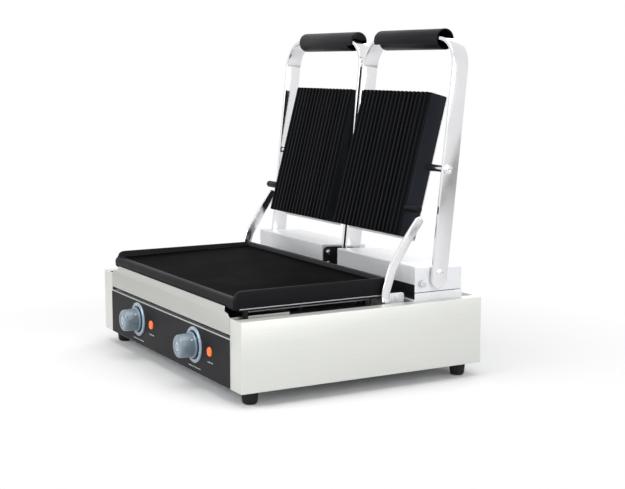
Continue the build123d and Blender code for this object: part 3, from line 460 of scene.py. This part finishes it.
# the ring's section, as height above the film and radius
section = np.array(
    [
        [0.0, 0.02245], [0.0, 0.02925], [0.0012, 0.02925], [0.0021, 0.0286], [0.0029, 0.0275],
        [0.0032, 0.0262], [0.0032, 0.0247], [0.0027, 0.0235], [0.0016, 0.0226],
    ]
)
ring_face = 0.0032
tick_radius = 0.02545
turn = np.linspace(0, 2 * np.pi, 97)
ring_shells, tick_shells = [], []
for x in dial_places:
    ring = np.empty((len(turn), len(section), 3))
    ring[:, :, 0] = x + np.sin(turn)[:, None] * section[:, 1]
    ring[:, :, 1] = overlay_face - section[:, 0]
    ring[:, :, 2] = dial_height + np.cos(turn)[:, None] * section[:, 1]
    ring_shells.append(ring)
    for step in range(11):
        angle = math.radians(-135 + 27 * step)
        out = np.array([math.sin(angle), 0.0, math.cos(angle)])
        side = np.array([math.cos(angle), 0.0, -math.sin(angle)])
        long = 0.0013 if step % 5 == 0 else 0.0008
        middle = np.array([x, overlay_face - ring_face, dial_height]) + out * tick_radius
        box = np.empty((2, 4, 3))
        flat = [(-0.00035, -long), (0.00035, -long), (0.00035, long), (-0.00035, long)]
        for k, (a, b) in enumerate(flat):
            box[0, k] = middle + side * a + out * b + np.array([0, 0.0003, 0])
            box[1, k] = middle + side * a + out * b + np.array([0, -0.0001, 0])
        tick_shells.append(box)


def closed_ring(name, shells):
    """A ring has no ends to fill: its last loop lies on its first and the two are merged,
    and the flat caps that the grid made there are taken out."""
    mesh = woven_grid(name, shells)
    work = bmesh.new()
    work.from_mesh(mesh)
    caps = [face for face in work.faces if len(face.verts) > 4]
    bmesh.ops.delete(work, geom=caps, context="FACES_ONLY")
    bmesh.ops.recalc_face_normals(work, faces=work.faces)
    work.to_mesh(mesh)
    work.free()
    return mesh


rings = closed_ring("dial_rings", ring_shells)
link_piece("dial_rings", rings, "base", ring_plastic, ("bezel_rings",))
link_piece("dial_ticks", woven_grid("dial_ticks", tick_shells), "base", ink)

# Lamps: a flat orange lens with a soft edge over its lamp, lit from inside by the mains
# neon, so it is bright and even.
lens_plastic = finish_material(
    "orange_lens", film, (0.25, 0.35), (0.90, 0.13, 0.02), (1.0, 0.19, 0.035),
    metal=0.0, bump=0.02,
)
lens_plastic.node_tree.nodes["Principled BSDF"].inputs["Emission Color"].default_value = (
    1.0, 0.16, 0.03, 1.0,
)
lens_plastic.node_tree.nodes["Principled BSDF"].inputs["Emission Strength"].default_value = 0.35
lamp_profile = [
    (-0.024, 0.0052), (-0.0001, 0.0052), (0.0, 0.0073), (0.0014, 0.0074),
    (0.0021, 0.0070), (0.0026, 0.0062), (0.0029, 0.0048), (0.0030, 0.0025),
]
lenses = [
    turned(lamp_profile, (x, overlay_face, dial_height), (0, -1, 0), 48) for x in lamp_places
]
link_piece(
    "lamp_lenses", woven_grid("lamp_lenses", lenses), "base", lens_plastic,
    ("indicator_lamps",),
)

# Dial knobs: moulded caps with a tapered skirt, a rounded front edge, a raised white oval on
# the face and a white pointer dash on the side.
knob_plastic = finish_material(
    "knob_plastic", film, (0.26, 0.36), (0.165, 0.225, 0.275), (0.225, 0.300, 0.355),
    metal=0.1, bump=0.05, coat=0.35,
)
knob_profile = [
    (-0.0178, 0.0039), (0.0, 0.0039), (0.0, 0.0205), (0.0006, 0.0211), (0.0022, 0.0211),
    (0.0030, 0.0203), (0.0036, 0.0193), (0.0120, 0.0191), (0.0215, 0.0186), (0.0243, 0.0181),
    (0.0257, 0.0172), (0.0266, 0.0160), (0.0270, 0.0146), (0.0270, 0.0120), (0.0265, 0.0112),
    (0.0264, 0.0060),
]
knob_length = 0.027
knob_face = 0.0264
dash_angle = math.radians(52)
for (side, _), x in zip(hands, dial_places):
    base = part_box(f"control_knob_{side}")[0][1] + knob_length
    knob = turned(knob_profile, (x, base, dial_height), (0, -1, 0), 96)
    mesh = woven_grid(f"dial_knob_{side}", [knob])
    link_piece(
        mesh.name, mesh, f"knob_{side}", knob_plastic, (f"control_knob_{side}",)
    )
    around = np.linspace(0, 2 * np.pi, 49)
    bead = np.linspace(0, 2 * np.pi, 10, endpoint=False)
    oval = np.empty((len(around), len(bead), 3))
    radius = 0.0006 * np.cos(bead)
    oval[:, :, 0] = x + np.sin(around)[:, None] * (0.0040 + radius)
    oval[:, :, 1] = base - knob_face - 0.0005 * np.sin(bead)
    oval[:, :, 2] = dial_height + np.cos(around)[:, None] * (0.0062 + radius)
    mark = closed_ring(f"face_mark_{side}", [oval])
    link_piece(mark.name, mark, f"knob_{side}", ink)
    dash = np.empty((2, 4, 3))
    for k, (a, b) in enumerate([(-1, -1), (1, -1), (1, 1), (-1, 1)]):
        angle = dash_angle + a * 0.055
        along = base - 0.0075 + b * 0.0022
        for row, radius in enumerate((0.0185, 0.01925)):
            dash[row, k] = (
                x + math.sin(angle) * radius,
                along,
                dial_height + math.cos(angle) * radius,
            )
    pointer = woven_grid(f"pointer_dash_{side}", [dash])
    link_piece(pointer.name, pointer, f"knob_{side}", ink)

# Drip tray: a folded stainless drawer front with a bright leaning lip, and the trough
# behind it; it slides out on two strips fixed to the shelf.
tray_steel = finish_material(
    "tray_steel", belt, (0.34, 0.50), (0.45, 0.45, 0.425), (0.55, 0.55, 0.525),
    metal=0.6, bump=0.06, across=(16.0, 700.0, 700.0),
)
eased_copy("drip_tray", "folded_tray", "tray", tray_steel, 0.0005)
runner_black = finish_material(
    "black_runner", film, (0.4, 0.55), (0.012, 0.012, 0.013), (0.022, 0.022, 0.024),
    metal=0.0, bump=0.1,
)
coat_node("tray_runners", runner_black)

# Griddle: one wide iron casting, black enamelled, its rim swept down in a curve at the front
# corners to a low lip and a rounded nose that grease runs over into the tray. The floor is
# seasoned matt, and a narrow bright band along the foot of each side is a painted highlight.
griddle_enamel = finish_material(
    "griddle_enamel", enamel, (0.42, 0.54), (0.0085, 0.0085, 0.0100), (0.0130, 0.0130, 0.0150),
    metal=0.0, bump=0.14, specular=0.07,
)
seasoned_floor = finish_material(
    "seasoned_floor", enamel, (0.50, 0.62), (0.0016, 0.0019, 0.0016), (0.0044, 0.0050, 0.0043),
    metal=0.0, bump=0.12, specular=0.004,
)
# painted highlight: a bright steel colour on a 1.5 mm band at the foot of each side stands in
# for the highlight on that edge
highlight_band = finish_material(
    "painted_highlight_band", belt, (0.25, 0.35), (0.80, 0.80, 0.81), (0.90, 0.90, 0.91),
    metal=0.6, bump=0.02,
)


def ease(x, low, high):
    """0 below low, 1 above high, and three x squared minus two x cubed between them."""
    part = np.clip((x - low) / (high - low), 0.0, 1.0)
    return part * part * (3 - 2 * part)


def pan_points():
    """Section loops in X and Z at stations along Y. The floor falls to the front and rises
    to a lip there; the nose is a quarter circle above and below, height = centre plus root
    of (r squared - y squared). The side rim runs level, then drops to the lip in a quarter
    round, and the floor eases up to the rim at the back."""
    edge, wall_foot, rim_inner = 0.245, 0.2358, 0.2375
    rim_top, underside, floor_front = 0.169, 0.140, 0.157
    nose_y, nose_radius, lip = -0.206, 0.005, 0.0015
    y = np.concatenate(
        [
            nose_y - nose_radius * np.cos(np.linspace(0, np.pi / 2, 9)),
            np.linspace(-0.2055, -0.176, 44),
            np.linspace(-0.17, 0.044, 30),
            np.linspace(0.046, 0.0630, 22),
            np.linspace(0.0638, 0.0702, 6),
        ]
    )
    slope = floor_front + (y - nose_y) / 0.258 * 0.005 + lip * (1 - ease(y, -0.2015, -0.197))
    ahead = np.clip(nose_y - y, 0, nose_radius) / nose_radius
    nose = nose_radius * (1 - np.sqrt(np.clip(1 - ahead**2, 0, 1)))
    rear = 0.0290 * np.clip((y - 0.0630) / 0.009, 0, 1)
    rear = rear + 0.0016 * ease(y, 0.0605, 0.0630) * (y <= 0.0631)
    rim = rim_top - rear
    floor = slope - nose
    swept = np.sqrt(np.clip(1 - np.clip((-0.194 - y) / 0.0135, 0, 1) ** 2, 0, 1))
    side = floor + (rim - floor) * swept * ease(y, -0.2095, -0.2035)
    floor = floor + (rim - floor) * ease(y, 0.0475, 0.0545)
    bottom = underside + nose
    recess = 0.006 * ease(y, -0.199, -0.196) * (1 - ease(y, 0.047, 0.050))
    lift = (side - floor)[:, None]
    base, low, top = floor[:, None], bottom[:, None], side[:, None]
    under = low + recess[:, None]
    curve = np.linspace(0, np.pi / 2, 6)
    outer = np.minimum(0.0030, 0.35 * (top - low))
    inner = np.minimum(0.0026, 0.5 * lift)
    foot = np.minimum(0.0045, 0.5 * lift)
    one = np.ones_like(base)
    x = np.concatenate(
        [
            0.000 * one, 0.2315 * one, 0.2330 * one, 0.2352 * one, 0.2430 * one, 0.2446 * one,
            edge * one,
            edge - outer * (1 - np.cos(curve)),
            rim_inner + inner * (1 - np.sin(curve)) * 0.6,
            wall_foot * one, wall_foot - foot * (1 - np.cos(curve)), 0.220 * one, 0.120 * one,
        ],
        axis=1,
    )
    z = np.concatenate(
        [
            under, under, low + 0.4 * recess[:, None], low, low, low + 0.0007, low + 0.0022,
            top - outer * (1 - np.sin(curve)),
            top - inner * (1 - np.cos(curve)),
            base + foot, base + foot * (1 - np.sin(curve)), base, base,
        ],
        axis=1,
    )
    corner = ease(y, 0.0575, 0.0702)[:, None] * 0.0035
    x = np.where(x > 0.2370, x - corner, x)
    x = np.concatenate([x, -x[:, ::-1][:, :-1]], axis=1)
    z = np.concatenate([z, z[:, ::-1][:, :-1]], axis=1)
    return np.stack([x, np.broadcast_to(y[:, None], x.shape), z], axis=2)


pan = woven_grid("griddle_casting", [pan_points()])
link_piece("griddle_casting", pan, "base", griddle_enamel, ("griddle",))
pan.materials.append(seasoned_floor)
pan.materials.append(highlight_band)
floor_slot, edge_slot = 1, 2
for face in pan.polygons:
    x, y, z = face.center
    on_floor = abs(x) < 0.2345 and -0.1965 < y < 0.0500 and z > 0.150
    # on_edge picks the band at the foot of each side that carries the painted highlight
    on_edge = abs(x) > 0.2425 and -0.200 < y < 0.062 and z < 0.1424
    if on_floor or on_edge:
        face.material_index = floor_slot if on_floor else edge_slot

# Works under the griddle and in the plates: bent tubular elements whose sheaths heat has
# browned; the hinge shafts, spring sleeves and foot screws are ground steel.
ground_steel = finish_material(
    "ground_steel", belt, (0.22, 0.36), (0.55, 0.56, 0.58), (0.70, 0.71, 0.73),
    metal=1.0, bump=0.03, across=(300.0, 300.0, 40.0),
)
heated = finish_material(
    "heated_sheath", belt, (0.35, 0.5), (0.10, 0.085, 0.085), (0.28, 0.22, 0.16),
    metal=0.8, bump=0.08, across=(30.0, 30.0, 30.0),
)
for node in ("foot_screws", "spring_sleeves", "hinge_shaft_left", "hinge_shaft_right"):
    coat_node(node, ground_steel)
for node in ("bottom_elements", "top_element_left", "top_element_right"):
    coat_node(node, heated)

# Hinge covers and plinths: folded stainless boxes, belt-polished from side to side, each
# on a shallow plinth; inside stands the black frame that carries the shaft bushes. The
# posts that the griddle stands on get the same black as painted shade for the gap under it.
cover_steel = finish_material(
    "cover_steel", belt, (0.26, 0.40), (0.82, 0.83, 0.86), (0.90, 0.91, 0.94),
    metal=0.18, bump=0.05, across=(16.0, 800.0, 800.0),
)
frame_paint_and_gap_shade = finish_material(
    "frame_paint_and_gap_shade", film, (0.3, 0.45), (0.012, 0.012, 0.014), (0.02, 0.02, 0.023),
    metal=0.0, bump=0.2, specular=0.2,
)
folded = (("hinge_cover", "hinge_box", 0.0006), ("hinge_plinth", "plinth", 0.0005))
for side, _ in hands:
    for node, name, radius in folded:
        node, name = f"{node}_{side}", f"{name}_{side}"
        eased_copy(node, name, "base", cover_steel, radius)
    coat_node(f"hinge_frame_{side}", frame_paint_and_gap_shade)
# painted shade: the posts are coloured black to stand in for the dark gap under the griddle
coat_node("griddle_posts", frame_paint_and_gap_shade)

# Hinge cheeks in the gap between the covers: black plates bolted to the inner wall of each
# cover, with bright nuts on short studs.
outline = np.array(
    [
        [0.0990, 0.1325], [0.0990, 0.1760], [0.1010, 0.1800], [0.1060, 0.1825],
        [0.1480, 0.1805], [0.1600, 0.1700], [0.1640, 0.1560], [0.1640, 0.1325],
    ]
)
nut_profile = [
    (0.0, 0.0045), (0.0034, 0.0045), (0.0039, 0.0040),
    (0.0040, 0.0026), (0.0062, 0.0026), (0.0066, 0.0021),
]
cheek_face, cheek_back = 0.0243, 0.0265
cheeks, nuts = [], []
for _, way in hands:
    cheek = np.empty((2, len(outline), 3))
    cheek[:, :, 0] = way * np.array([cheek_face, cheek_back])[:, None]
    cheek[:, :, 1] = outline[:, 0]
    cheek[:, :, 2] = outline[:, 1]
    cheeks.append(cheek)
    for y, z, sides in ((0.1065, 0.1735, 6), (0.1065, 0.1525, 6), (0.1230, 0.1420, 24)):
        nuts.append(turned(nut_profile, (way * cheek_face, y, z), (-way, 0, 0), sides))
link_piece("hinge_cheeks", woven_grid("hinge_cheeks", cheeks), "base", frame_paint_and_gap_shade)
bright_bar = finish_material(
    "bright_bar", polish, (0.06, 0.16), (0.7, 0.7, 0.72), (0.85, 0.85, 0.86),
    metal=1.0, bump=0.015,
)
link_piece("cheek_nuts", woven_grid("cheek_nuts", nuts), "base", bright_bar)

# Bushes, stop bolts, guide bars and their brackets: bronze plain bearings inside, hexagon
# bolts in the covers' ends, and flat bars bent at the foot and riveted to the deck.
bronze = finish_material(
    "bush_bronze", polish, (0.25, 0.4), (0.50, 0.33, 0.15), (0.62, 0.43, 0.20),
    metal=1.0, bump=0.03,
)
coat_node("hinge_bushes", bronze)
eased_copy("stop_bolts", "hex_stop_bolts", "base", ground_steel, 0.0006)
for side, _ in hands:
    node = f"guide_bar_{side}"
    eased_copy(node, f"bent_guide_{side}", "base", bright_bar, 0.0011)
eased_copy("guide_brackets", "riveted_brackets", "base", cover_steel, 0.0005)

# Handle bows: one polished flat bar each, bent twice to a tall hoop, its feet rounded where
# the shaft screws hold it, with a black tube grip over the top.
hinge_y, hinge_z = 0.140, 0.1745
tilt_y, tilt_z = 0.15202, 0.34010
arm_lean = math.radians(6.0)


def bow_points(way):
    """A rounded bar section, 29 by 6 mm, carried up one leg, round a quarter circle, along
    the top, round again and down. Below the shaft the section narrows as the root of
    (r squared - distance squared), which rounds the foot."""
    inner, outer, top, foot, bend_radius = 0.0065, 0.2756, 0.373, -0.0095, 0.047
    half_bar, half_thick, corner = 0.0145, 0.003, 0.0011
    quarter = np.linspace(0, np.pi / 2, 22)
    ending = half_bar * np.sin(np.linspace(np.pi / 2, 0.03, 16))
    rise = np.concatenate([foot - ending, np.linspace(foot + 0.004, top - bend_radius, 26)])
    legs = np.stack([np.full(rise.shape, inner), rise], axis=1)
    bend = np.stack([1 - np.cos(quarter), np.sin(quarter) - 1], axis=1) * bend_radius
    bend = bend + (inner, top)
    across = np.linspace(inner + bend_radius, outer - bend_radius, 14)[1:-1]
    bar = np.stack([across, np.full(across.shape, top)], axis=1)
    half = np.concatenate([legs, bend[1:]])
    other = half[::-1].copy()
    other[:, 0] = inner + outer - other[:, 0]
    path = np.concatenate([half, bar, other])
    step = np.gradient(path, axis=0)
    step = step / np.linalg.norm(step, axis=1)[:, None]
    side = np.stack([-step[:, 1], step[:, 0]], axis=1)
    reach = np.clip(foot - path[:, 1], 0, half_bar - 0.00001)
    half_width = np.sqrt(half_bar**2 - reach**2)
    turn = np.linspace(0, np.pi / 2, 5)
    run, climb = corner * np.cos(turn), corner * np.sin(turn)
    sign_u = np.repeat([1, -1, -1, 1], len(turn))
    sign_v = np.repeat([1, 1, -1, -1], len(turn))
    thick = np.concatenate([run, -climb, -run, climb]) + sign_u * (half_thick - corner)
    wide = np.clip(half_width[:, None] - corner, 0.0, None) * sign_v
    wide = wide + np.concatenate([climb, run, -climb, -run])
    flat = path[:, None, :] + side[:, None, :] * thick[None, :, None]
    points = np.empty((len(path), len(thick), 3))
    points[:, :, 0] = way * flat[:, :, 0]
    points[:, :, 1] = hinge_y + flat[:, :, 1] * math.sin(arm_lean) + wide * math.cos(arm_lean)
    points[:, :, 2] = hinge_z + flat[:, :, 1] * math.cos(arm_lean) - wide * math.sin(arm_lean)
    return points


grip_plastic = finish_material(
    "grip_plastic", film, (0.33, 0.45), (0.0045, 0.0045, 0.0065), (0.0080, 0.0080, 0.0110),
    metal=0.0, bump=0.14, specular=0.12, grain=1100.0,
)
for side, way in hands:
    bow = woven_grid(f"handle_bow_{side}", [bow_points(way)])
    body = f"handle_{side}_bow"
    link_piece(bow.name, bow, body, bright_bar, (f"handle_{side}",))
    eased_copy(f"grip_{side}", f"moulded_grip_{side}", body, grip_plastic, 0.0007)

# Shaft screws and pivot pins: turned steel, with domed heads sunk in the middle for the
# key; the pivot pins step down from a shoulder to a journal inside the plate.
screw_profile = [
    (-0.0190, 0.0039), (0.0, 0.0039), (0.0, 0.0070), (0.0009, 0.0069), (0.0017, 0.0058),
    (0.0021, 0.0042), (0.0022, 0.0031), (0.0012, 0.0029), (0.0010, 0.0012),
]
for side, way in hands:
    screws, pins = [], []
    # the outer and the inner face of the bow, and the dome and reach of the pin there
    for x, out, dome, reach in ((0.2786, 1, 0.0042, 0.0553), (0.0035, -1, 0.0022, 0.0112)):
        pin_profile = [
            (-reach - 0.0112, 0.0040), (-reach - 0.0106, 0.0045), (-reach, 0.0045),
            (-reach, 0.0060), (-0.0060, 0.0060), (-0.0060, 0.0039), (0.0, 0.0039), (0.0, 0.0080),
            (0.35 * dome, 0.0079), (0.72 * dome, 0.0066), (0.94 * dome, 0.0046),
            (dome, 0.0034), (0.55 * dome, 0.0031), (0.5 * dome, 0.0012),
        ]
        axis = (way * out, 0, 0)
        screws.append(turned(screw_profile, (way * x, hinge_y, hinge_z), axis, 40))
        pins.append(turned(pin_profile, (way * x, tilt_y, tilt_z), axis, 40))
    turnings = (("leg_screws", screws, "shaft_screws"), ("pivots", pins, "pivot_pins"))
    for name, shells, node in turnings:
        mesh = woven_grid(f"{name}_{side}", shells)
        node = f"{node}_{side}"
        link_piece(mesh.name, mesh, f"handle_{side}_bow", bright_bar, (node,))

# Top plates: iron castings with rounded ribs along their length, black enamelled, closed
# behind by a stainless sheet whose lower edge stands proud of the casting. Each holds a wool
# pad, and has a black knob on its outer side that meets the guide bar.
# painted reflection: the blue in the enamel's colours stands in for the bluish sheen on the
# ribs; the black is the enamel's own
plate_enamel_and_sheen = finish_material(
    "plate_enamel_and_sheen", enamel, (0.26, 0.36), (0.0014, 0.0017, 0.0026), (0.0030, 0.0036, 0.0052),
    metal=0.0, bump=0.14, specular=0.055, sand=520.0,
)
# painted light: the plates' end walls get a lighter copy of the same black enamel for the light
# that falls on them
plate_side = finish_material(
    "plate_side_lit_enamel", enamel, (0.40, 0.52), (0.011, 0.0135, 0.019), (0.016, 0.0190, 0.026),
    metal=0.0, bump=0.14, specular=0.12, sand=520.0,
)
plate_lean = math.radians(14.74)
plate_up = np.array([0.0, math.sin(plate_lean), math.cos(plate_lean)])
plate_in = np.array([0.0, math.cos(plate_lean), -math.sin(plate_lean)])
plate_foot = np.array([0.0, 0.091, 0.230])
rib_from, rib_to = 0.0178, 0.2202


def ribbed_points(way):
    """A section loop across the plate, carried up its length. The face is 17 ribs at a
    12 mm pitch: each is the valley depth times an eased step of the distance from its
    crest. The first and last loops are drawn in, which rounds the ends."""
    rib_count, pitch, valley, middle = 17, 0.012, 0.004, 0.119
    across = np.linspace(rib_from, rib_to, rib_count * 16 + 1)
    crest = np.abs((across - middle + pitch / 2) % pitch - pitch / 2)
    front = np.stack([across, valley * ease(crest, 0.0015, 0.0036)], axis=1)
    turn = np.linspace(0, np.pi / 2, 6)[1:]
    side = 0.0028 * np.stack([-np.sin(turn), 1 - np.cos(turn)], axis=1)
    left = side + (rib_from, valley)
    right = left * (-1, 1) + (2 * middle, 0)
    back = np.array([[0.2230, 0.0355], [0.2218, 0.03705], [0.0162, 0.03705], [0.0150, 0.0355]])
    loop = np.concatenate([front, right, back, left[::-1]])
    ends = [0.0030, 0.0033, 0.0042], [0.2388, 0.2397, 0.2400]
    s = np.concatenate([ends[0], np.linspace(0.006, 0.237, 14), ends[1]])
    pull = np.array([1.2, 0.5, 0.1] + [0.0] * 14 + [0.1, 0.5, 1.2]) * 0.001
    centre = np.array([middle, 0.020])
    toward = np.clip((centre - loop) / 0.004, -1, 1)
    flat = loop[None] + toward[None] * pull[:, None, None]
    points = np.empty((len(s), len(loop), 3))
    points[:] = plate_foot + s[:, None, None] * plate_up + flat[:, :, 1:2] * plate_in
    points[:, :, 0] = way * flat[:, :, 0]
    return points


plate_back = finish_material(
    "plate_back_sheet", belt, (0.28, 0.42), (0.60, 0.61, 0.62), (0.74, 0.75, 0.76),
    metal=0.85, bump=0.05, across=(700.0, 30.0, 14.0),
)
pad_wool = finish_material(
    "mineral_wool", enamel, (0.85, 0.95), (0.60, 0.57, 0.50), (0.75, 0.72, 0.65),
    metal=0.0, bump=0.6, sand=700.0,
)
knob_black = finish_material(
    "tilt_knob_black", film, (0.38, 0.50), (0.006, 0.006, 0.007), (0.010, 0.010, 0.011),
    metal=0.0, bump=0.08, specular=0.08,
)
head_profile = [
    (-0.0015, 0.0019), (0.0, 0.0019), (0.0, 0.0040), (0.0007, 0.0039),
    (0.0013, 0.0031), (0.0016, 0.0018), (0.0009, 0.0016),
]
follower_profile = [
    (-0.0045, 0.0024), (0.0, 0.0024), (0.0, 0.0060), (0.0340, 0.0060),
    (0.0352, 0.0055), (0.0360, 0.0044), (0.0360, 0.0020),
]
for side, way in hands:
    body = f"plate_{side}"
    mesh = woven_grid(f"ribbed_plate_{side}", [ribbed_points(way)])
    link_piece(mesh.name, mesh, body, plate_enamel_and_sheen, (f"top_plate_{side}",))
    mesh.materials.append(plate_side)
    # the end walls outside the ribs take the lighter copy, which is painted light
    for face in mesh.polygons:
        if abs(face.normal.x) > 0.9 and not rib_from < abs(face.center.x) < rib_to:
            face.material_index = 1
    node = f"plate_cover_{side}"
    eased_copy(node, f"back_sheet_{side}", body, plate_back, 0.0004)
    coat_node(f"top_insulation_{side}", pad_wool)
    heads = []
    for x in (0.022, 0.216):
        for s in (0.020, 0.220):
            place = plate_foot + s * plate_up + 0.0386 * plate_in
            place[0] = way * x
            heads.append(turned(head_profile, place, plate_in, 24))
    mesh = woven_grid(f"back_screws_{side}", heads)
    link_piece(mesh.name, mesh, body, bright_bar, (f"cover_screws_{side}",))
    knob_at = plate_foot + 0.050 * plate_up + 0.008 * plate_in
    knob_at[0] = way * 0.22305
    follower = turned(follower_profile, knob_at, (way, 0, 0), 40)
    mesh = woven_grid(f"tilt_pin_{side}", [follower])
    link_piece(mesh.name, mesh, body, knob_black, (f"tilt_knob_{side}",))

# Feet: tapered black rubber, each moulded with a groove under its flange and held by a
# screw from below.
rubber = finish_material(
    "foot_rubber", enamel, (0.6, 0.75), (0.012, 0.012, 0.013), (0.024, 0.024, 0.026),
    metal=0.0, bump=0.3, specular=0.15, sand=900.0,
)
foot_profile = [
    (0.0, 0.0086), (0.0006, 0.0102), (0.0020, 0.0113), (0.0042, 0.0118), (0.0160, 0.0131),
    (0.0172, 0.0128), (0.0180, 0.0133), (0.0192, 0.0139), (0.0216, 0.0140), (0.0220, 0.0137),
]
foot_x, foot_y = 0.258, 0.1905
foot_shells = [
    turned(foot_profile, (x, y, 0.0), (0, 0, 1), 48)
    for x in (-foot_x, foot_x)
    for y in (-foot_y, foot_y)
]
mesh = woven_grid("rubber_feet", foot_shells)
link_piece("rubber_feet", mesh, "base", rubber, ("feet",))

# Rear and inside: the cord gland, moulded in black with a hexagon and a round clamp nut, the
# round-headed screws of the rear panel, and the pale cases of the switchgear.
eased_copy("cable_gland", "cord_gland", "base", knob_black, 0.0006)
coat_node("panel_screws", bright_bar)
case_plastic = finish_material(
    "case_plastic", film, (0.45, 0.6), (0.55, 0.53, 0.47), (0.66, 0.64, 0.58),
    metal=0.0, bump=0.1,
)
for node in ("thermostat_left", "thermostat_right", "terminal_block"):
    coat_node(node, case_plastic)
